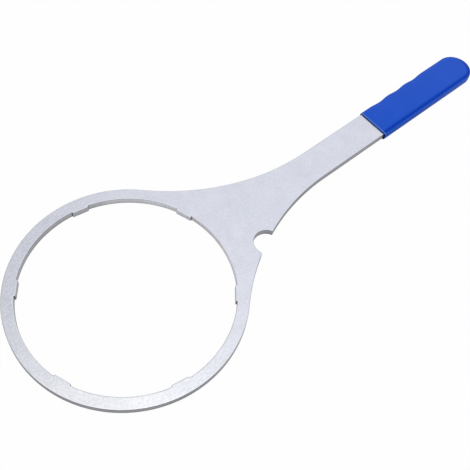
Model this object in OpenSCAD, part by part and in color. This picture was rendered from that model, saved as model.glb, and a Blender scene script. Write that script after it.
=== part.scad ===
// Filter housing wrench: a flat steel ring with inward lugs, a flared neck and a bar handle,
// and a vinyl sleeve pushed over the end of the bar.
// All sizes are in millimetres. The origin is the centre of the ring, on the plate's middle plane.
// +X runs along the handle, +Y is the side with the finger valleys, and +Z is up.

/* [Plate] */
// Thickness of the steel plate
plate_t = 6; // [3:0.5:10]

/* [Ring] */
// Inside diameter of the ring, between the lugs
bore_d = 170.5; // [130:0.5:220]
// Width of the ring's band
band_w = 9.75; // [7:0.25:25]

/* [Lugs] */
// Number of lugs spaced evenly around the bore
lug_count = 6; // [3:1:12]
// Length of a lug along the bore
lug_len = 14.4; // [6:0.2:24]
// How far a lug stands in from the bore
lug_h = 1.6; // [0.8:0.1:5]
// Radius of a lug's two tip corners
lug_corner_r = 1; // [0.2:0.1:1.5]
// Angle from the handle's axis to the first lug
lug_angle = 20.3; // [0:0.1:60]

/* [Handle] */
// Width of the bar
bar_w = 29; // [20:0.5:40]
// Distance from the ring's centre to the end of the bar, inside the sleeve
bar_reach = 408; // [370:0.5:520]
// Radius of the two fillets that blend the ring into the bar
neck_fillet_r = 195; // [120:1:240]

/* [Notch] */
// Diameter of the half-round notch, centred on the edge of the neck
notch_d = 22.5; // [10:0.5:30]
// Distance from the outside of the ring to the middle of the notch, along the handle
notch_from_ring = 20.3; // [12:0.1:60]
// Radius of the notch's lip on the ring's side
notch_lip_r = 2; // [0.5:0.1:4]

/* [Grip] */
// Length of the sleeve over its end
grip_len = 133.1; // [125:0.1:180]
// Wall of the sleeve at its sides and end
grip_side_wall = 1.75; // [1.5:0.05:4]
// Wall of the sleeve above and below the bar
grip_face_wall = 1.3; // [0.7:0.05:3]
// Height of the round along the sleeve's long edges and end, at most the wall above the bar
grip_edge_h = 1.25; // [0.3:0.05:2]
// Width of that round, across the faces
grip_edge_w = 6; // [1:0.25:8]
// How much the finger side narrows along the finger valleys, towards the mouth
grip_taper = 0.55; // [0:0.05:0.9]
// Clearance between the sleeve and the bar
grip_fit = 0.05; // [0.02:0.01:0.2]

/* [Finger valleys] */
// Number of finger valleys
finger_count = 3; // [1:1:3]
// Distance between two finger valleys
finger_pitch = 24; // [15:0.5:26]
// Depth of a finger valley
finger_depth = 0.9; // [0.2:0.05:1.2]
// Distance from the sleeve's tip to the first valley's near edge
finger_start = 48; // [20:1:56]

/* [Hidden] */
$fn = 180;
// How far a cut runs past the face it opens
cut_over = 5;
// How far two arcs that blend run into each other, so that they meet in one clean edge
blend_over = 0.002;

ring_r = bore_d / 2 + band_w;
lug_tip_r = bore_d / 2 - lug_h;
bar_half = bar_w / 2;

// Each fillet circle touches the outside of the ring and the straight edge of the bar.
fillet_y = bar_half + neck_fillet_r;
fillet_x = sqrt(pow(ring_r + neck_fillet_r - blend_over, 2) - pow(fillet_y, 2));

// The notch's centre lies on the fillet's edge.
notch_r = notch_d / 2;
notch_x = ring_r + notch_from_ring;
notch_y = sqrt(pow(neck_fillet_r, 2) - pow(notch_x - fillet_x, 2)) - fillet_y;
notch_mid = [notch_x, notch_y];
fillet_mid = [fillet_x, -fillet_y];

// The point on the ring's side at one distance from the notch's middle and another from the fillet's
function notch_side(from_notch, from_fillet) =
    let (
        toward = (fillet_mid - notch_mid) / neck_fillet_r,
        along = (pow(neck_fillet_r, 2) + pow(from_notch, 2) - pow(from_fillet, 2)) / (2 * neck_fillet_r),
        off = sqrt(pow(from_notch, 2) - pow(along, 2))
    )
        notch_mid + along * toward + off * [toward.y, -toward.x];

// The lip's round touches the notch and the edge of the neck.
lip_corner = notch_side(notch_r, neck_fillet_r);
lip_grow = notch_lip_r - blend_over;
lip_mid = notch_side(notch_r + lip_grow, neck_fillet_r + lip_grow);
lip_on_notch = notch_mid + (lip_mid - notch_mid) * notch_r / (notch_r + lip_grow);
lip_on_edge = fillet_mid + (lip_mid - fillet_mid) * neck_fillet_r / (neck_fillet_r + lip_grow);

// A point as far outside the lip as the round's middle lies inside it
function past_lip(point) = 2 * point - lip_mid;

// The sleeve's round end is concentric with the round end of the bar.
end_x = bar_reach - bar_half;
grip_half = bar_half + grip_fit + grip_side_wall;
grip_half_h = plate_t / 2 + grip_fit + grip_face_wall;
grip_tip_x = end_x + grip_half;
grip_mouth_x = grip_tip_x - grip_len;
finger_x = grip_tip_x - finger_start;
finger_run = finger_count * finger_pitch;

// Steps along one finger valley, round half of the end, and round one long edge
wave_steps = 10;
end_steps = 12;
edge_steps = 6;

// Stations along the sleeve from its mouth to the start of its round end
side_x = concat(
    [grip_mouth_x],
    [for (i = [0 : finger_count * wave_steps]) finger_x - finger_run + finger_pitch * i / wave_steps],
    [end_x]
);

// Depth of the finger valleys at one station, and the slope of that depth
function in_wave(x) = x > finger_x - finger_run && x < finger_x;
function wave_turn(x) = 360 * (x - finger_x) / finger_pitch;
function wave(x) = in_wave(x) ? finger_depth * (1 - cos(wave_turn(x))) / 2 : 0;
function wave_slope(x) = in_wave(x) ? finger_depth * PI / finger_pitch * sin(wave_turn(x)) : 0;

// Distance from the axis to the finger side, which narrows along the valleys, and its slope
taper_slope = grip_taper / finger_run;
function taper(x) = taper_slope * min(finger_run, max(0, finger_x - x));
function finger_y(x) = grip_half - taper(x) - wave(x);
function finger_slope(x) = in_wave(x) ? taper_slope - wave_slope(x) : 0;

// Points of the sleeve's outline pulled in along its normals, from the mouth round the end and back
function plain_side(inset) = [for (x = side_x) [x, inset - grip_half]];
function round_end(inset) = [
    for (i = [1 : 2 * end_steps - 1])
        let (turn = 90 * i / end_steps - 90)
            [end_x + (grip_half - inset) * cos(turn), (grip_half - inset) * sin(turn)]
];
function finger_point(x, inset) =
    let (tilt = atan(finger_slope(x)))
        [x + inset * sin(tilt), finger_y(x) - inset * cos(tilt)];
function finger_side(inset) = [for (i = [len(side_x) - 1 : -1 : 0]) finger_point(side_x[i], inset)];
function grip_ring(inset, z) = [
    for (p = concat(plain_side(inset), round_end(inset), finger_side(inset))) [p.x, p.y, z]
];

// Layers of the sleeve from its underside to its top, with a quarter ellipse along each edge
edge_h = min(grip_edge_h, grip_face_wall);
edge_turns = [for (i = [0 : edge_steps]) 90 * i / edge_steps];
lower_layers = [
    for (a = edge_turns)
        [grip_edge_w * (1 - sin(a)), edge_h * (1 - cos(a)) - grip_half_h]
];
upper_layers = [for (i = [edge_steps : -1 : 0]) [lower_layers[i][0], -lower_layers[i][1]]];
grip_layers = concat(lower_layers, upper_layers);

// The parts of a closed skin over a stack of rings with n points each
function skin_side(n, k) = [
    for (i = [0 : n - 2])
        [k * n + i, (k + 1) * n + i, (k + 1) * n + i + 1, k * n + i + 1]
];
function skin_mouth(n, k) = [k * n + n - 1, (k + 1) * n + n - 1, (k + 1) * n, k * n];
function skin_cap(n) = concat(
    [for (i = [0 : (n - 1) / 2 - 2]) [i, i + 1, n - 2 - i, n - 1 - i]],
    [[(n - 3) / 2, (n - 1) / 2, (n + 1) / 2]]
);
function flipped(face) = [for (i = [len(face) - 1 : -1 : 0]) face[i]];
function raised(face, by) = [for (i = face) i + by];

// One lug on the +X axis, with its foot in the ring's band
module lug() {
    foot = lug_h + band_w / 2;
    half = lug_len / 2;
    translate([lug_tip_r, 0]) {
        translate([lug_corner_r, -half])
            square([foot - lug_corner_r, lug_len]);
        translate([0, lug_corner_r - half])
            square([foot, lug_len - 2 * lug_corner_r]);
        for (side = [-1, 1])
            translate([lug_corner_r, side * (half - lug_corner_r)])
                circle(r = lug_corner_r);
    }
}

module lugs() {
    for (k = [0 : lug_count - 1])
        rotate(lug_angle + 360 * k / lug_count)
            lug();
}

// The neck fills the triangle between the ring's middle and the middles of the two fillets.
module neck() {
    difference() {
        polygon([[0, 0], [fillet_x, -fillet_y], [fillet_x, fillet_y]]);
        for (side = [-1, 1])
            translate([fillet_x, side * fillet_y])
                circle(r = neck_fillet_r);
    }
}

// The bar as seen from above, grown by a clearance, from a start along the handle to its round end
module bar(from_x, grow) {
    half = bar_half + grow;
    translate([from_x, -half])
        square([end_x - from_x, 2 * half]);
    translate([end_x, 0])
        circle(r = half);
}

module notch() {
    translate(notch_mid)
        circle(r = notch_r);
    difference() {
        polygon([lip_mid, past_lip(lip_on_edge), past_lip(lip_corner), past_lip(lip_on_notch)]);
        translate(lip_mid)
            circle(r = notch_lip_r);
    }
}

module plate_outline() {
    difference() {
        union() {
            circle(r = ring_r);
            neck();
            bar(ring_r, 0);
        }
        difference() {
            circle(d = bore_d);
            lugs();
        }
        notch();
    }
}

module wrench_plate() {
    color([0.78, 0.79, 0.83])
        linear_extrude(height = plate_t, center = true)
            plate_outline();
}

module grip_shape() {
    rings = [for (layer = grip_layers) grip_ring(layer[0], layer[1])];
    n = len(rings[0]);
    top = len(rings) - 1;
    polyhedron(
        points = [for (ring = rings) each ring],
        faces = concat(
            [for (face = skin_cap(n)) face],
            [for (k = [0 : top - 1]) each skin_side(n, k)],
            [for (k = [0 : top - 1]) skin_mouth(n, k)],
            [for (face = skin_cap(n)) flipped(raised(face, top * n))]
        )
    );
}

module grip_sleeve() {
    color([0.17, 0.35, 0.78])
        difference() {
            grip_shape();
            linear_extrude(height = plate_t + 2 * grip_fit, center = true)
                bar(grip_mouth_x - cut_over, grip_fit);
        }
}

wrench_plate();
grip_sleeve();
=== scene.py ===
from math import atan2, ceil, cos, hypot, pi, radians, sin, sqrt, tau
import bmesh
import bpy
from mathutils import Matrix, Vector


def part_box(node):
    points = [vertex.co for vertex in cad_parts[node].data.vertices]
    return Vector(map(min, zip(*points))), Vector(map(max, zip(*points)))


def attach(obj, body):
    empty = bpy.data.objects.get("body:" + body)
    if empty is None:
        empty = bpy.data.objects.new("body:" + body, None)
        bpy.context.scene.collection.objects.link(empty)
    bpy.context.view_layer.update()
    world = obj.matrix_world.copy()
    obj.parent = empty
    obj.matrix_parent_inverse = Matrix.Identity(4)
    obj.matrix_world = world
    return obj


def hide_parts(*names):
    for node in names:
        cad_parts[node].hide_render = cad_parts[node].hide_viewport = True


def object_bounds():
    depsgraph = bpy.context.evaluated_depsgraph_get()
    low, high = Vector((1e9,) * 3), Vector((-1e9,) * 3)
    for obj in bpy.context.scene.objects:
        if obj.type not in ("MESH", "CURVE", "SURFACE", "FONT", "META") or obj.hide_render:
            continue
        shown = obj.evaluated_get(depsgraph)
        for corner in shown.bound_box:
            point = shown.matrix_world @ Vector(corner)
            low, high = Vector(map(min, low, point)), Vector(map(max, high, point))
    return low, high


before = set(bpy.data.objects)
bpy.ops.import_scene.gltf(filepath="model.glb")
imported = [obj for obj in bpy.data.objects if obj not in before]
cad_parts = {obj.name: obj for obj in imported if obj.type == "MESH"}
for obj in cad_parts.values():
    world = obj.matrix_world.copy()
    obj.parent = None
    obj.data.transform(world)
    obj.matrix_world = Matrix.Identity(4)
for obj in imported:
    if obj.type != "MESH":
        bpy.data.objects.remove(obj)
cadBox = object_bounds()
scene = bpy.context.scene
mm = 0.001
print("frame loaded:", sorted(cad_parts))


# drawing and modelling helpers

pen = {
    "at": Vector((0, 0, 0)),
    "arcStep": 1.6 * mm,
    "fewestSteps": 6,
    "weldGap": 0.001 * mm,  # points nearer than this are one
    "flatEnough": 0.9,  # how level the normal of an upper or lower face is
}


def startPiece(name, at):
    bpy.ops.object.select_all(action="DESELECT")
    bpy.ops.mesh.primitive_plane_add(size=mm, location=(0, 0, 0))
    piece = bpy.context.object
    piece.name = piece.data.name = name
    bpy.ops.object.mode_set(mode="EDIT")
    bpy.ops.mesh.select_mode(type="VERT")
    bpy.ops.mesh.select_all(action="SELECT")
    bpy.ops.mesh.merge(type="CENTER")  # one point is left, and the outline grows from it
    bpy.ops.transform.translate(value=at)
    pen["at"] = Vector(at)
    return piece


def penDown(at):
    bpy.ops.mesh.select_all(action="DESELECT")
    bpy.ops.mesh.primitive_plane_add(size=mm, location=at)
    bpy.ops.mesh.merge(type="CENTER")
    pen["at"] = Vector(at)


def penLine(x, y):
    to = Vector((x, y, pen["at"].z))
    bpy.ops.mesh.extrude_vertices_move(TRANSFORM_OT_translate={"value": to - pen["at"]})
    pen["at"] = to


def penArc(middle, x, y, way):  # way 1 runs counter-clockwise, -1 clockwise
    at = pen["at"]
    start = atan2(at.y - middle[1], at.x - middle[0])
    end = atan2(y - middle[1], x - middle[0])
    turn = (way * (end - start)) % tau
    length = turn * hypot(x - middle[0], y - middle[1])
    steps = max(pen["fewestSteps"], ceil(length / pen["arcStep"]))
    centre = (middle[0], middle[1], at.z)
    # spin turns backwards
    bpy.ops.mesh.spin(steps=steps, angle=-way * turn, center=centre, axis=(0, 0, 1))
    pen["at"] = Vector((x, y, at.z))


def fillOutline():
    bpy.ops.mesh.select_all(action="SELECT")
    bpy.ops.mesh.remove_doubles(threshold=pen["weldGap"])
    bpy.ops.mesh.fill(use_beauty=True)


def pullDown(depths):
    for depth in depths:
        bpy.ops.mesh.extrude_region_move(TRANSFORM_OT_translate={"value": (0, 0, -depth)})
    bpy.ops.mesh.select_all(action="SELECT")
    bpy.ops.mesh.normals_make_consistent(inside=False)


def pickFaces(piece, wanted):
    bpy.ops.mesh.select_mode(type="FACE")
    bpy.ops.mesh.select_all(action="DESELECT")
    mesh = bmesh.from_edit_mesh(piece.data)
    for face in mesh.faces:
        face.select_set(wanted(face))
    bmesh.update_edit_mesh(piece.data)


def pickEdges(piece, wanted):
    bpy.ops.mesh.select_mode(type="EDGE")
    bpy.ops.mesh.select_all(action="DESELECT")
    mesh = bmesh.from_edit_mesh(piece.data)
    for edge in mesh.edges:
        edge.select_set(wanted(edge))
    bmesh.update_edit_mesh(piece.data)


# side 1 is the top face and -1 the bottom face, and a power of 2 is an ellipse, more is squarer
def roundRim(piece, side, width, height, power, steps, hold):
    pickFaces(piece, lambda face: face.normal.z * side > pen["flatEnough"])
    turns = [pi / 2 * i / steps for i in range(steps)] + [pi / 2]
    outward = [max(0, cos(turn)) ** (2 / power) for turn in turns]
    for i in range(steps):
        inward = width * (outward[i] - outward[i + 1])
        bpy.ops.mesh.inset(thickness=inward, depth=height * (sin(turns[i + 1]) - sin(turns[i])))
    bpy.ops.mesh.inset(thickness=hold, depth=0)  # keeps the shading of the big face even


def finishPiece(piece, sharpAngle):
    bpy.ops.object.mode_set(mode="OBJECT")
    bpy.ops.object.select_all(action="DESELECT")
    piece.select_set(True)
    bpy.context.view_layer.objects.active = piece
    bpy.ops.object.shade_smooth_by_angle(angle=radians(sharpAngle))


def circlesMeet(middleA, radiusA, middleB, radiusB, side):
    apart = middleB - middleA
    reach = apart.length
    along = (reach**2 + radiusA**2 - radiusB**2) / (2 * reach)
    off = sqrt(radiusA**2 - along**2)
    toward = apart / reach
    return middleA + along * toward + side * off * Vector((toward.y, -toward.x))


# steel plate: ring, lugs, neck with its notch, and bar

plateSizes = {
    "boreRadius": 85.25 * mm,
    "barWidth": 29 * mm,
    "neckRadius": 195 * mm,  # the hollow curves between ring and bar
    "lugCount": 6,
    "lugLength": 14.4 * mm,
    "lugHeight": 1.6 * mm,
    "lugCorner": 1 * mm,
    "lugTurn": 20.3,  # degrees from the handle to the first lug
    "notchRadius": 11.25 * mm,
    "notchFromRing": 20.3 * mm,
    "lipRadius": 2 * mm,
    "topRound": 0.45 * mm,  # the cutting die rolls the top edge over a little
    "bottomRound": 0.15 * mm,
    "roundPower": 2,
    "roundSteps": 3,
    "holdStrip": 0.5 * mm,  # a strip along each rim that keeps the shading even
    "sharpAngle": 40,  # degrees, sharper edges stay crisp
}


def drawPlateOutside(sizes, ringRadius, barEnd):
    half = sizes["barWidth"] / 2
    neck = sizes["neckRadius"]
    endX = barEnd - half
    neckY = half + neck
    neckX = sqrt((ringRadius + neck) ** 2 - neckY**2)
    touch = Vector((neckX, neckY)) * ringRadius / (ringRadius + neck)
    neckMiddle = Vector((neckX, -neckY))
    notchX = ringRadius + sizes["notchFromRing"]
    notchMiddle = Vector((notchX, sqrt(neck**2 - (notchX - neckX) ** 2) - neckY))
    notch = sizes["notchRadius"]
    lip = sizes["lipRadius"]
    lipMiddle = circlesMeet(notchMiddle, notch + lip, neckMiddle, neck + lip, 1)
    lipOnEdge = neckMiddle + (lipMiddle - neckMiddle) * neck / (neck + lip)
    lipOnNotch = notchMiddle + (lipMiddle - notchMiddle) * notch / (notch + lip)
    notchCorner = circlesMeet(notchMiddle, notch, neckMiddle, neck, -1)

    penLine(neckX, half)
    penArc((neckX, neckY), touch.x, touch.y, -1)
    penArc((0, 0), touch.x, -touch.y, 1)
    penArc(neckMiddle, *lipOnEdge, -1)
    penArc(lipMiddle, *lipOnNotch, 1)
    penArc(notchMiddle, *notchCorner, -1)
    penArc(neckMiddle, neckX, -half, -1)
    penLine(endX, -half)
    penArc((endX, 0), endX, half, 1)


def drawPlateBore(sizes, level):
    bore = sizes["boreRadius"]
    half = sizes["lugLength"] / 2
    corner = sizes["lugCorner"]
    tip = bore - sizes["lugHeight"]
    foot = sqrt(bore**2 - half**2)

    def onLug(turn, u, v):  # u runs outwards along the lug's middle, v along the bore
        return u * cos(turn) - v * sin(turn), u * sin(turn) + v * cos(turn)

    turns = [radians(sizes["lugTurn"]) + tau * k / sizes["lugCount"] for k in range(sizes["lugCount"])]
    penDown((*onLug(turns[0], foot, -half), level))
    for k, turn in enumerate(turns):
        following = turns[(k + 1) % len(turns)]
        penLine(*onLug(turn, tip + corner, -half))
        penArc(onLug(turn, tip + corner, corner - half), *onLug(turn, tip, corner - half), -1)
        penLine(*onLug(turn, tip, half - corner))
        penArc(onLug(turn, tip + corner, half - corner), *onLug(turn, tip + corner, half), -1)
        penLine(*onLug(turn, foot, half))
        penArc((0, 0), *onLug(following, foot, -half), 1)


def makePlate(sizes):
    low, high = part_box("wrench_plate")
    half = sizes["barWidth"] / 2
    level = high.z - sizes["topRound"]
    hold = sizes["holdStrip"]
    wall = high.z - low.z - sizes["topRound"] - sizes["bottomRound"]
    piece = startPiece("steelPlate", (high.x - half, half, level))
    drawPlateOutside(sizes, -low.x, high.x)
    drawPlateBore(sizes, level)
    fillOutline()
    pullDown((hold, wall - 2 * hold, hold))
    for side, radius in ((1, sizes["topRound"]), (-1, sizes["bottomRound"])):
        roundRim(piece, side, radius, radius, sizes["roundPower"], sizes["roundSteps"], hold)
    finishPiece(piece, sizes["sharpAngle"])
    return piece


steelPlate = makePlate(plateSizes)
print("plate modelled:", len(steelPlate.data.polygons), "faces")


# vinyl sleeve with finger valleys, cut square at its mouth

sleeveSizes = {
    "barWidth": plateSizes["barWidth"],
    "fingerCount": 3,
    "fingerPitch": 24 * mm,
    "fingerDepth": 0.9 * mm,
    "fingerStart": 48 * mm,  # from the tip to the first valley
    "fingerTaper": 0.55 * mm,
    "fingerSteps": 16,
    "edgeWidth": 7.5 * mm,  # the long edges fall away softly and then turn down
    "edgeHeight": 1.8 * mm,
    "edgePower": 4,
    "roundSteps": 12,
    "holdStrip": 0.4 * mm,
    "spareLength": 10 * mm,  # cut off again at the mouth
    "mouthRound": 0.25 * mm,
    "mouthSteps": 2,
    "mouthReach": 0.01 * mm,  # edges this near the cut belong to the mouth
    "barGap": 0.05 * mm,
    "sharpAngle": 40,  # degrees, sharper edges stay crisp
}


def drawSleeveOutline(sizes, low, high):
    half = -low.y
    endX = high.x - half
    startX = low.x - sizes["spareLength"]
    fingerX = high.x - sizes["fingerStart"]
    run = sizes["fingerCount"] * sizes["fingerPitch"]
    steps = sizes["fingerCount"] * sizes["fingerSteps"]
    penLine(endX, -half)
    penArc((endX, 0), endX, half, 1)
    penLine(fingerX, half)
    for i in range(1, steps + 1):
        share = i / steps
        wave = (1 - cos(tau * sizes["fingerCount"] * share)) / 2
        penLine(fingerX - run * share, half - sizes["fingerTaper"] * share - sizes["fingerDepth"] * wave)
    penLine(startX, half - sizes["fingerTaper"])
    penLine(startX, -half)


def makeBarCore(sizes, low, high, plateTop):
    half = sizes["barWidth"] / 2 + sizes["barGap"]
    endX = high.x + low.y  # the bar's round end is concentric with the sleeve's
    startX = low.x - 2 * sizes["spareLength"]
    level = plateTop + sizes["barGap"]
    core = startPiece("barCore", (startX, -half, level))
    penLine(endX, -half)
    penArc((endX, 0), endX, half, 1)
    penLine(startX, half)
    penLine(startX, -half)
    fillOutline()
    pullDown((2 * level,))
    bpy.ops.object.mode_set(mode="OBJECT")
    return core


def makeSleeve(sizes):
    low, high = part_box("grip_sleeve")
    edge = sizes["edgeHeight"]
    hold = sizes["holdStrip"]
    level = high.z - edge
    wall = high.z - low.z - 2 * edge
    piece = startPiece("vinylSleeve", (low.x - sizes["spareLength"], low.y, level))
    drawSleeveOutline(sizes, low, high)
    fillOutline()
    pullDown((hold, wall - 2 * hold, hold))
    for side in (1, -1):
        roundRim(piece, side, sizes["edgeWidth"], edge, sizes["edgePower"], sizes["roundSteps"], hold)
    bpy.ops.mesh.select_all(action="SELECT")
    bpy.ops.mesh.bisect(plane_co=(low.x, 0, 0), plane_no=(1, 0, 0), clear_inner=True, use_fill=True)
    atMouth = low.x + sizes["mouthReach"]
    pickEdges(piece, lambda edge: all(point.co.x < atMouth for point in edge.verts))
    bpy.ops.mesh.bevel(offset=sizes["mouthRound"], segments=sizes["mouthSteps"], affect="EDGES")
    bpy.ops.object.mode_set(mode="OBJECT")

    core = makeBarCore(sizes, low, high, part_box("wrench_plate")[1].z)
    bpy.ops.object.select_all(action="DESELECT")
    bpy.context.view_layer.objects.active = piece
    hollow = piece.modifiers.new("hollow", "BOOLEAN")
    hollow.operation = "DIFFERENCE"
    hollow.solver = "EXACT"
    hollow.object = core
    bpy.ops.object.modifier_apply(modifier=hollow.name)
    bpy.data.objects.remove(core)
    finishPiece(piece, sizes["sharpAngle"])
    return piece


vinylSleeve = makeSleeve(sleeveSizes)
print("sleeve modelled:", len(vinylSleeve.data.polygons), "faces")


# shader helpers and the effects that both finishes share


def addNode(tree, kind, settings=None, values=None):
    node = tree.nodes.new(kind)
    for name, value in (settings or {}).items():
        setattr(node, name, value)
    for name, value in (values or {}).items():
        node.inputs[name].default_value = value
    return node


def newGroup(name, inputs, outputs):
    group = bpy.data.node_groups.new(name, "ShaderNodeTree")
    for label, kind, value in inputs:
        socket = group.interface.new_socket(label, in_out="INPUT", socket_type=kind)
        if value is not None:
            socket.default_value = value
    for label, kind in outputs:
        group.interface.new_socket(label, in_out="OUTPUT", socket_type=kind)
    return group, group.nodes.new("NodeGroupInput"), group.nodes.new("NodeGroupOutput")


def makeSpeckle():
    group, ins, outs = newGroup(
        "fineSpeckle",
        [
            ("Vector", "NodeSocketVector", None),
            ("Scale", "NodeSocketFloat", 900.0),
            ("Spread", "NodeSocketFloat", 0.25),  # how far from its middle the noise is used
        ],
        [("Speckle", "NodeSocketFloat")],
    )
    noise = addNode(group, "ShaderNodeTexNoise", values={"Detail": 3.0, "Roughness": 0.6})
    low = addNode(group, "ShaderNodeMath", {"operation": "SUBTRACT"}, {0: 0.5})
    high = addNode(group, "ShaderNodeMath", {"operation": "ADD"}, {0: 0.5})
    stretch = addNode(group, "ShaderNodeMapRange")
    link = group.links.new
    link(ins.outputs["Vector"], noise.inputs["Vector"])
    link(ins.outputs["Scale"], noise.inputs["Scale"])
    link(ins.outputs["Spread"], low.inputs[1])
    link(ins.outputs["Spread"], high.inputs[1])
    link(noise.outputs["Fac"], stretch.inputs["Value"])
    link(low.outputs[0], stretch.inputs["From Min"])
    link(high.outputs[0], stretch.inputs["From Max"])
    link(stretch.outputs["Result"], outs.inputs["Speckle"])
    return group


def makeClouds():
    group, ins, outs = newGroup(
        "softClouds",
        [
            ("Vector", "NodeSocketVector", None),
            ("Scale", "NodeSocketFloat", 40.0),
            ("Warp", "NodeSocketFloat", 0.4),
        ],
        [("Clouds", "NodeSocketFloat")],
    )
    noise = addNode(group, "ShaderNodeTexNoise", values={"Detail": 4.0, "Roughness": 0.55})
    stretch = addNode(
        group,
        "ShaderNodeMapRange",
        {"interpolation_type": "SMOOTHSTEP"},
        {"From Min": 0.3, "From Max": 0.7},
    )
    link = group.links.new
    link(ins.outputs["Vector"], noise.inputs["Vector"])
    link(ins.outputs["Scale"], noise.inputs["Scale"])
    link(ins.outputs["Warp"], noise.inputs["Distortion"])
    link(noise.outputs["Fac"], stretch.inputs["Value"])
    link(stretch.outputs["Result"], outs.inputs["Clouds"])
    return group


fineSpeckle = makeSpeckle()
softClouds = makeClouds()


def newFinish(name):
    finish = bpy.data.materials.new(name)
    finish.use_nodes = True
    tree = finish.node_tree
    tree.nodes.clear()
    surface = tree.nodes.new("ShaderNodeBsdfPrincipled")
    output = tree.nodes.new("ShaderNodeOutputMaterial")
    tree.links.new(surface.outputs["BSDF"], output.inputs["Surface"])
    return finish, tree, surface


def placeGroup(tree, group, vector, **values):
    node = addNode(tree, "ShaderNodeGroup", {"node_tree": group})
    for name, value in values.items():
        node.inputs[name].default_value = value
    tree.links.new(vector, node.inputs["Vector"])
    return node.outputs[0]


def mixColour(tree, factor, first, second, kind="MIX"):  # colours are sockets or plain values
    node = addNode(tree, "ShaderNodeMix", {"data_type": "RGBA", "blend_type": kind})
    sockets = [node.inputs[0], node.inputs[6], node.inputs[7]]
    for socket, value in zip(sockets, (factor, first, second)):
        if isinstance(value, bpy.types.NodeSocket):
            tree.links.new(value, socket)
        else:
            socket.default_value = value
    return node.outputs[2]


def mapValue(tree, value, fromLow, fromHigh, toLow, toHigh, smooth=False):
    node = addNode(tree, "ShaderNodeMapRange", {"interpolation_type": "SMOOTHSTEP" if smooth else "LINEAR"})
    tree.links.new(value, node.inputs["Value"])
    limits = {"From Min": fromLow, "From Max": fromHigh, "To Min": toLow, "To Max": toHigh}
    for name, number in limits.items():
        if isinstance(number, bpy.types.NodeSocket):
            tree.links.new(number, node.inputs[name])
        else:
            node.inputs[name].default_value = number
    return node.outputs["Result"]


def calculate(tree, operation, *values):
    node = addNode(tree, "ShaderNodeMath", {"operation": operation})
    for socket, value in zip(node.inputs, values):
        if isinstance(value, bpy.types.NodeSocket):
            tree.links.new(value, socket)
        else:
            socket.default_value = value
    return node.outputs[0]


# galvanised steel: pale zinc with a faint bloom, and darker cut walls with painted light and shade

steelLook = {
    "paleZinc": (0.735, 0.757, 0.835, 1),
    "greyZinc": (0.655, 0.683, 0.762, 1),
    "greyShare": (0.15, 0.55),  # least and most grey in the clouds
    "cloudScale": 45.0,
    "cloudWarp": 0.6,
    "stainScale": 110.0,
    "stainWarp": 0.3,
    "stainFrom": 0.5,  # only the thicker half of these clouds stains
    "stainTone": (1.004, 0.972),
    "bloomScale": 150.0,
    "bloomTone": (0.985, 1.01),
    "grainScale": 520.0,
    "grainSpread": 0.25,
    "fineGrain": (0.91, 1.06),  # on the neck and the bar
    "coarseGrain": (0.85, 1.12),  # on the free side of the ring
    "grainSpan": (5 * mm, 60 * mm),  # from coarse to fine, along the handle
    "faceDepth": (2.85 * mm, 2.998 * mm),  # the zinc starts on the last of the rolled rim, and the rim below that takes the walls' colour as painted shade along the edge
    "faceRough": (0.28, 0.34),
    "wallRough": 0.55,
    "cutUpper": (0.67, 0.675, 0.72, 1),
    "cutLower": (0.575, 0.58, 0.62, 1),
    "breakLine": (-0.4 * mm, 0.5 * mm),  # the upper cut meets the lower one between these heights
    "breakSoft": 0.3 * mm,
    "tearScale": 700.0,
    "tearSpread": 0.3,
    "tearStretch": 0.06,  # the tears run down the walls
    "tearTone": (0.85, 1.08),
    "cutScale": 14.0,
    "cutWarp": 0.2,
    "cutTone": (0.85, 1.10),  # slow change along the walls
    "outsideTone": 0.57,  # the outside was sheared and is duller than the bore, and is darkened further with painted shade
    "outsideSpan": (2 * mm, 7 * mm),  # past the bore
    "boreTone": (0.70, 0.97),  # from the free side of the bore to the handle's side, partly the cut's own tone and partly painted light and shade
    "boreSpan": (10 * mm, 58 * mm),
    "rimShade": 0.68,  # painted shade: the rolled rim and the top of the wall are drawn darkest
    "rimShadeDepth": (2.2 * mm, 2.6 * mm),
    "rimHighlight": 1.3,  # a painted highlight: the bore's rim is drawn lighter on the handle's side
    "rimHighlightSpan": (68 * mm, 82 * mm),
    "rimHighlightReach": (1 * mm, 3 * mm),  # past the bore
    "lugShade": 0.3,  # painted shade in the corners at the sides of the lugs, how much light is left there
    "lugShadeEdge": (0.1 * mm, 0.6 * mm),  # from a lug's side
    "lugShadeReach": (-0.2 * mm, 0.1 * mm),  # past the bore
    "bumpStrength": 0.32,
    "bumpDepth": 0.02 * mm,
}


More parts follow.
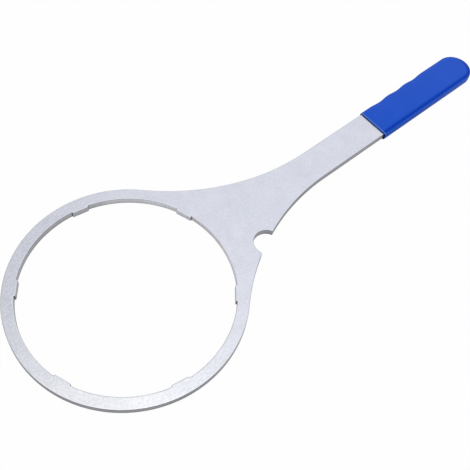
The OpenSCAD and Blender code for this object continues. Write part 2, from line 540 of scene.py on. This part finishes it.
def makeSteel(look, sizes):
    finish, tree, surface = newFinish("galvanisedSteel")
    link = tree.links.new
    place = addNode(tree, "ShaderNodeTexCoord").outputs["Object"]
    flatten = addNode(tree, "ShaderNodeMapping", values={"Scale": (1, 1, 0)})
    link(place, flatten.inputs["Vector"])
    flat = flatten.outputs["Vector"]
    split = addNode(tree, "ShaderNodeSeparateXYZ")
    link(place, split.inputs["Vector"])
    alongX, alongY, height = split.outputs
    depth = calculate(tree, "ABSOLUTE", height)
    onFace = mapValue(tree, depth, *look["faceDepth"], 0, 1)

    clouds = placeGroup(tree, softClouds, flat, Scale=look["cloudScale"], Warp=look["cloudWarp"])
    stains = placeGroup(tree, softClouds, flat, Scale=look["stainScale"], Warp=look["stainWarp"])
    speckle = placeGroup(tree, fineSpeckle, flat, Scale=look["grainScale"], Spread=look["grainSpread"])
    bloom = addNode(tree, "ShaderNodeTexVoronoi", values={"Scale": look["bloomScale"], "Randomness": 1.0})
    link(flat, bloom.inputs["Vector"])
    crystal = addNode(tree, "ShaderNodeRGBToBW")
    link(bloom.outputs["Color"], crystal.inputs["Color"])

    grey = mapValue(tree, clouds, 0, 1, *look["greyShare"])
    zinc = mixColour(tree, grey, look["paleZinc"], look["greyZinc"])
    shade = mapValue(tree, crystal.outputs["Val"], 0, 1, *look["bloomTone"])
    grainEnds = [
        mapValue(tree, alongX, *look["grainSpan"], coarse, fine, True)
        for coarse, fine in zip(look["coarseGrain"], look["fineGrain"])
    ]
    grain = mapValue(tree, speckle, 0, 1, *grainEnds)
    stain = mapValue(tree, stains, look["stainFrom"], 1, *look["stainTone"])
    tone = calculate(tree, "MULTIPLY", calculate(tree, "MULTIPLY", shade, grain), stain)
    zinc = mixColour(tree, 1.0, zinc, tone, "MULTIPLY")

    streaks = addNode(tree, "ShaderNodeMapping", values={"Scale": (1, 1, look["tearStretch"])})
    link(place, streaks.inputs["Vector"])
    downWall = streaks.outputs["Vector"]
    tear = placeGroup(tree, fineSpeckle, downWall, Scale=look["tearScale"], Spread=look["tearSpread"])
    soft = look["breakSoft"]
    aboveBreak = calculate(tree, "SUBTRACT", height, mapValue(tree, tear, 0, 1, *look["breakLine"]))
    upper = mapValue(tree, aboveBreak, -soft, soft, 0, 1, True)
    cut = mixColour(tree, upper, look["cutLower"], look["cutUpper"])
    cut = mixColour(tree, 1.0, cut, mapValue(tree, tear, 0, 1, *look["tearTone"]), "MULTIPLY")
    slow = placeGroup(tree, softClouds, flat, Scale=look["cutScale"], Warp=look["cutWarp"])
    cut = mixColour(tree, 1.0, cut, mapValue(tree, slow, 0, 1, *look["cutTone"]), "MULTIPLY")

    fromMiddle = addNode(tree, "ShaderNodeVectorMath", {"operation": "LENGTH"})
    link(flat, fromMiddle.inputs[0])
    pastBore = calculate(tree, "SUBTRACT", fromMiddle.outputs["Value"], sizes["boreRadius"])
    halfTurn = pi / sizes["lugCount"]
    turn = calculate(tree, "ARCTAN2", alongY, alongX)
    turn = calculate(tree, "SUBTRACT", turn, radians(sizes["lugTurn"]))
    turn = calculate(tree, "WRAP", turn, halfTurn, -halfTurn)
    fromLug = calculate(tree, "MULTIPLY", fromMiddle.outputs["Value"], calculate(tree, "SINE", turn))
    fromLug = calculate(tree, "ABSOLUTE", fromLug)
    fromSide = calculate(tree, "SUBTRACT", fromLug, sizes["lugLength"] / 2)
    # painted shade in the corners at the sides of the lugs
    beside = mapValue(tree, calculate(tree, "ABSOLUTE", fromSide), *look["lugShadeEdge"], 1, 0, True)
    within = mapValue(tree, pastBore, *look["lugShadeReach"], 1, 0, True)
    paintedLight = mapValue(tree, calculate(tree, "MULTIPLY", beside, within), 0, 1, 1, look["lugShade"])
    # painted shade along the rim, with a painted highlight on the bore's rim on the handle's side
    rim = mapValue(tree, alongX, *look["rimHighlightSpan"], look["rimShade"], look["rimHighlight"], True)
    rim = mapValue(tree, pastBore, *look["rimHighlightReach"], rim, look["rimShade"], True)
    paintedLight = calculate(tree, "MULTIPLY", paintedLight, mapValue(tree, depth, *look["rimShadeDepth"], 1, rim))
    # the bore's wall lightens towards the handle and the outside walls are darker, partly painted light and
    # shade
    inside = mapValue(tree, alongX, *look["boreSpan"], *look["boreTone"], True)
    side = mapValue(tree, pastBore, *look["outsideSpan"], inside, look["outsideTone"], True)
    cut = mixColour(tree, 1.0, cut, calculate(tree, "MULTIPLY", paintedLight, side), "MULTIPLY")
    # the walls' colour runs up onto most of the rolled rim, as painted shade along the edge
    link(mixColour(tree, onFace, cut, zinc), surface.inputs["Base Color"])

    gloss = mapValue(tree, calculate(tree, "ADD", clouds, speckle), 0, 2, *look["faceRough"])
    link(mapValue(tree, onFace, 0, 1, look["wallRough"], gloss), surface.inputs["Roughness"])
    surface.inputs["Metallic"].default_value = 1.0

    relief = mapValue(tree, onFace, 0, 1, tear, speckle)
    bumpValues = {"Strength": look["bumpStrength"], "Distance": look["bumpDepth"]}
    bump = addNode(tree, "ShaderNodeBump", values=bumpValues)
    link(relief, bump.inputs["Height"])
    link(bump.outputs["Normal"], surface.inputs["Normal"])
    return finish


galvanisedSteel = makeSteel(steelLook, plateSizes)


# blue vinyl: satin, a little cloudy, with painted shade on the cut mouth, the side walls and the shoulder,
# and painted light on the lip and the lower walls

vinylLook = {
    "blue": (0.002, 0.073, 0.557, 1),
    "paleBlue": (0.003, 0.077, 0.577, 1),
    "cloudScale": 60.0,
    "cloudWarp": 0.2,
    "grainScale": 1400.0,
    "grainSpread": 0.3,
    "grainTone": (0.95, 1.04),
    "shoulderShadeBlue": (0.0015, 0.039, 0.40, 1),  # painted shade: a darker line along the plain side's shoulder
    "shoulderRise": (10.5 * mm, 14.2 * mm),  # from the sleeve's axis
    "shoulderFall": (14.4 * mm, 15.7 * mm),
    "plainSpan": (-6 * mm, 11 * mm),  # the line fades out between these places across the sleeve
    "lipHighlightBlue": (0.10, 0.20, 0.58, 1),  # a painted highlight: the lip of the mouth is drawn thin and pale
    "lipHighlightSpan": (0.8 * mm, 1.3 * mm),  # from the mouth
    # painted shade on the side walls
    "sideShadeBlue": (0.004, 0.053, 0.40, 1),
    "floorLightBlue": (0.010, 0.085, 0.47, 1),  # painted light from the floor: the lower half of the wall is drawn paler
    "floorLightSpan": (-2 * mm, 1 * mm),
    "topSpan": (2.4 * mm, 3.4 * mm),  # the wall turns into the upper face between these heights
    "undersideSpan": (-4.3 * mm, -4.1 * mm),
    # painted shade on the cut face of the mouth, lighter towards its top
    "cutShadeBlue": (0.001, 0.003, 0.04, 1),
    "cutRimShadeBlue": (0.012, 0.045, 0.25, 1),
    "cutRimSpan": (2.8 * mm, 3.4 * mm),
    "cutSpan": (0.02 * mm, 0.2 * mm),  # from the mouth
    "rough": (0.28, 0.36),
    "gloss": 0.38,  # a thin polish that the side walls, the cut mouth and the painted shade line on the shoulder lack
    "glossRough": 0.32,
    "shine": 0.06,  # what is left without the polish
    "shineTint": (0.34, 1, 1, 1),
    "bumpStrength": 0.25,
    "bumpDepth": 0.02 * mm,
}


def makeVinyl(look):
    finish, tree, surface = newFinish("blueVinyl")
    link = tree.links.new
    low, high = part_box("grip_sleeve")
    place = addNode(tree, "ShaderNodeTexCoord").outputs["Object"]
    split = addNode(tree, "ShaderNodeSeparateXYZ")
    link(place, split.inputs["Vector"])
    alongX, alongY, height = split.outputs
    clouds = placeGroup(tree, softClouds, place, Scale=look["cloudScale"], Warp=look["cloudWarp"])
    speckle = placeGroup(tree, fineSpeckle, place, Scale=look["grainScale"], Spread=look["grainSpread"])
    body = mixColour(tree, clouds, look["blue"], look["paleBlue"])
    body = mixColour(tree, 1.0, body, mapValue(tree, speckle, 0, 1, *look["grainTone"]), "MULTIPLY")

    pastEnd = calculate(tree, "SUBTRACT", alongX, high.x + low.y)  # the end is round about this point
    across = addNode(tree, "ShaderNodeCombineXYZ")
    link(calculate(tree, "MAXIMUM", pastEnd, 0.0), across.inputs["X"])
    link(alongY, across.inputs["Y"])
    fromAxis = addNode(tree, "ShaderNodeVectorMath", {"operation": "LENGTH"})
    link(across.outputs["Vector"], fromAxis.inputs[0])
    # painted shade along the shoulder of the plain side
    rising = mapValue(tree, fromAxis.outputs["Value"], *look["shoulderRise"], 0, 1, True)
    falling = mapValue(tree, fromAxis.outputs["Value"], *look["shoulderFall"], 1, 0, True)
    plainSide = mapValue(tree, alongY, *look["plainSpan"], 1, 0, True)
    shoulder = calculate(tree, "MULTIPLY", calculate(tree, "MULTIPLY", rising, falling), plainSide)
    body = mixColour(tree, shoulder, body, look["shoulderShadeBlue"])

    fromMouth = calculate(tree, "SUBTRACT", alongX, low.x)
    # painted highlight along the lip of the mouth
    behindLipHighlight = mapValue(tree, fromMouth, *look["lipHighlightSpan"], 0, 1, True)
    body = mixColour(tree, behindLipHighlight, look["lipHighlightBlue"], body)
    onTop = mapValue(tree, height, *look["topSpan"], 0, 1, True)
    onUnderside = mapValue(tree, height, *look["undersideSpan"], 1, 0, True)
    onFlat = calculate(tree, "MAXIMUM", onTop, onUnderside)
    # painted shade on the side walls, with painted light from the floor on their lower half
    lowered = mapValue(tree, height, *look["floorLightSpan"], 1, 0, True)
    body = mixColour(tree, onFlat, mixColour(tree, lowered, look["sideShadeBlue"], look["floorLightBlue"]), body)
    # painted shade on the cut face of the mouth
    cutRim = mapValue(tree, height, *look["cutRimSpan"], 0, 1, True)
    cut = mixColour(tree, cutRim, look["cutShadeBlue"], look["cutRimShadeBlue"])
    uncut = mapValue(tree, fromMouth, *look["cutSpan"], 0, 1, True)
    link(mixColour(tree, uncut, cut, body), surface.inputs["Base Color"])

    link(mapValue(tree, speckle, 0, 1, *look["rough"]), surface.inputs["Roughness"])
    polished = calculate(tree, "MULTIPLY", onFlat, uncut)
    polished = calculate(tree, "MULTIPLY", polished, calculate(tree, "SUBTRACT", 1.0, shoulder))
    link(calculate(tree, "MULTIPLY", polished, look["gloss"]), surface.inputs["Coat Weight"])
    surface.inputs["Coat Roughness"].default_value = look["glossRough"]
    surface.inputs["Specular IOR Level"].default_value = look["shine"]
    surface.inputs["Specular Tint"].default_value = look["shineTint"]
    bumpValues = {"Strength": look["bumpStrength"], "Distance": look["bumpDepth"]}
    bump = addNode(tree, "ShaderNodeBump", values=bumpValues)
    link(speckle, bump.inputs["Height"])
    link(bump.outputs["Normal"], surface.inputs["Normal"])
    return finish


blueVinyl = makeVinyl(vinylLook)

for piece, node, finish, slotName in (
    (steelPlate, "wrench_plate", galvanisedSteel, "galvanised_steel"),
    (vinylSleeve, "grip_sleeve", blueVinyl, "blue_vinyl"),
):
    piece.data.materials.clear()
    piece.data.materials.append(finish)
    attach(piece, "root")
    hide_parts(node)
print("finishes set")


# studio: pale floor, soft light from above, and the camera

studio = {
    "floorSize": 8.0,
    "floorColour": (0.75, 0.75, 0.75, 1),
    "cameraWhite": 0.97,  # plain white in floor and sky as the camera sees them, the rest keeps the shadow
    "floorMirror": 0.6,  # plain white in the floor as reflections see it
    "skyMirror": 0.2,
    "horizon": (0.72, 0.72, 0.73, 1),
    "zenith": (1.0, 1.0, 1.02, 1),
    "skyRise": (0.05, 0.9),  # the sky brightens between these heights
    "flagToward": (-0.15, 0.62, 0.77),  # a soft grey panel in the sky
    "flagEdge": (0.87, 0.955),
    "flagLevel": 0.6,
    "lampAt": (-0.32, -0.03, 1.1),
    "lampSize": (1.25, 0.8),
    "lampPower": 2.0,
    "lampColour": (1.0, 0.93, 0.72),
}


def whiteShare(tree, cameraShare, mirrorShare):  # how much plain white each kind of ray sees
    rays = addNode(tree, "ShaderNodeLightPath").outputs
    mirrored = calculate(tree, "MAXIMUM", rays["Is Glossy Ray"], rays["Is Transmission Ray"])
    mirrored = calculate(tree, "MULTIPLY", mirrored, mirrorShare)
    seen = calculate(tree, "MULTIPLY", rays["Is Camera Ray"], cameraShare)
    return calculate(tree, "MAXIMUM", seen, mirrored)


def makeFloor(values):
    bpy.ops.object.select_all(action="DESELECT")
    bpy.ops.mesh.primitive_plane_add(size=values["floorSize"], location=(0, 0, cadBox[0].z))
    floor = bpy.context.object
    floor.name = "floor"
    finish = bpy.data.materials.new("paleFloor")
    finish.use_nodes = True
    tree = finish.node_tree
    tree.nodes.clear()
    diffuse = addNode(tree, "ShaderNodeBsdfDiffuse", values={"Color": values["floorColour"]})
    white = addNode(tree, "ShaderNodeEmission", values={"Color": (1, 1, 1, 1), "Strength": 1.0})
    share = whiteShare(tree, values["cameraWhite"], values["floorMirror"])
    mix = addNode(tree, "ShaderNodeMixShader")
    output = addNode(tree, "ShaderNodeOutputMaterial")
    tree.links.new(share, mix.inputs[0])
    tree.links.new(diffuse.outputs["BSDF"], mix.inputs[1])
    tree.links.new(white.outputs["Emission"], mix.inputs[2])
    tree.links.new(mix.outputs["Shader"], output.inputs["Surface"])
    floor.data.materials.append(finish)


def makeWorld(values):
    world = bpy.data.worlds.new("studio")
    scene.world = world
    world.use_nodes = True
    tree = world.node_tree
    tree.nodes.clear()
    way = addNode(tree, "ShaderNodeTexCoord").outputs["Generated"]
    split = addNode(tree, "ShaderNodeSeparateXYZ")
    tree.links.new(way, split.inputs["Vector"])
    rise = mapValue(tree, split.outputs["Z"], *values["skyRise"], 0, 1, True)
    sky = mixColour(tree, rise, values["horizon"], values["zenith"])
    toward = Vector(values["flagToward"]).normalized()
    near = addNode(tree, "ShaderNodeVectorMath", {"operation": "DOT_PRODUCT"}, {1: toward})
    tree.links.new(way, near.inputs[0])
    shade = mapValue(tree, near.outputs["Value"], *values["flagEdge"], 1, values["flagLevel"], True)
    sky = mixColour(tree, 1.0, sky, shade, "MULTIPLY")
    sky = mixColour(tree, whiteShare(tree, values["cameraWhite"], values["skyMirror"]), sky, (1, 1, 1, 1))
    background = addNode(tree, "ShaderNodeBackground")
    output = addNode(tree, "ShaderNodeOutputWorld")
    tree.links.new(sky, background.inputs["Color"])
    tree.links.new(background.outputs["Background"], output.inputs["Surface"])


def makeLamp(values):
    bpy.ops.object.light_add(type="AREA", location=values["lampAt"])
    lamp = bpy.context.object
    lamp.name = "softbox"
    lamp.data.shape = "RECTANGLE"
    lamp.data.size, lamp.data.size_y = values["lampSize"]
    lamp.data.energy = values["lampPower"]
    lamp.data.color = values["lampColour"]


makeFloor(studio)
makeWorld(studio)
makeLamp(studio)

view = {
    "turn": -48.63,  # turn, rise and roll are in degrees
    "rise": 57.93,
    "roll": 9.29,
    "target": (99.96 * mm, -11.76 * mm, 0),
    "distance": 619.29 * mm,
    "lens": 57.8,
    "sensor": 36,
    "nearest": 0.01,
}


def makeCamera(values):
    bpy.ops.object.camera_add()
    camera = bpy.context.object
    turn = Matrix.Rotation(radians(values["turn"]), 4, "Z")
    tilt = Matrix.Rotation(radians(90 - values["rise"]), 4, "X")
    roll = Matrix.Rotation(radians(values["roll"]), 4, "Z")
    aim = turn @ tilt @ roll
    back = aim @ Vector((0, 0, values["distance"]))
    camera.matrix_world = Matrix.Translation(Vector(values["target"]) + back) @ aim
    camera.data.sensor_width = values["sensor"]
    camera.data.lens = values["lens"]
    camera.data.clip_start = values["nearest"]
    scene.camera = camera


makeCamera(view)
scene.view_settings.view_transform = "Standard"
print("studio and camera set")
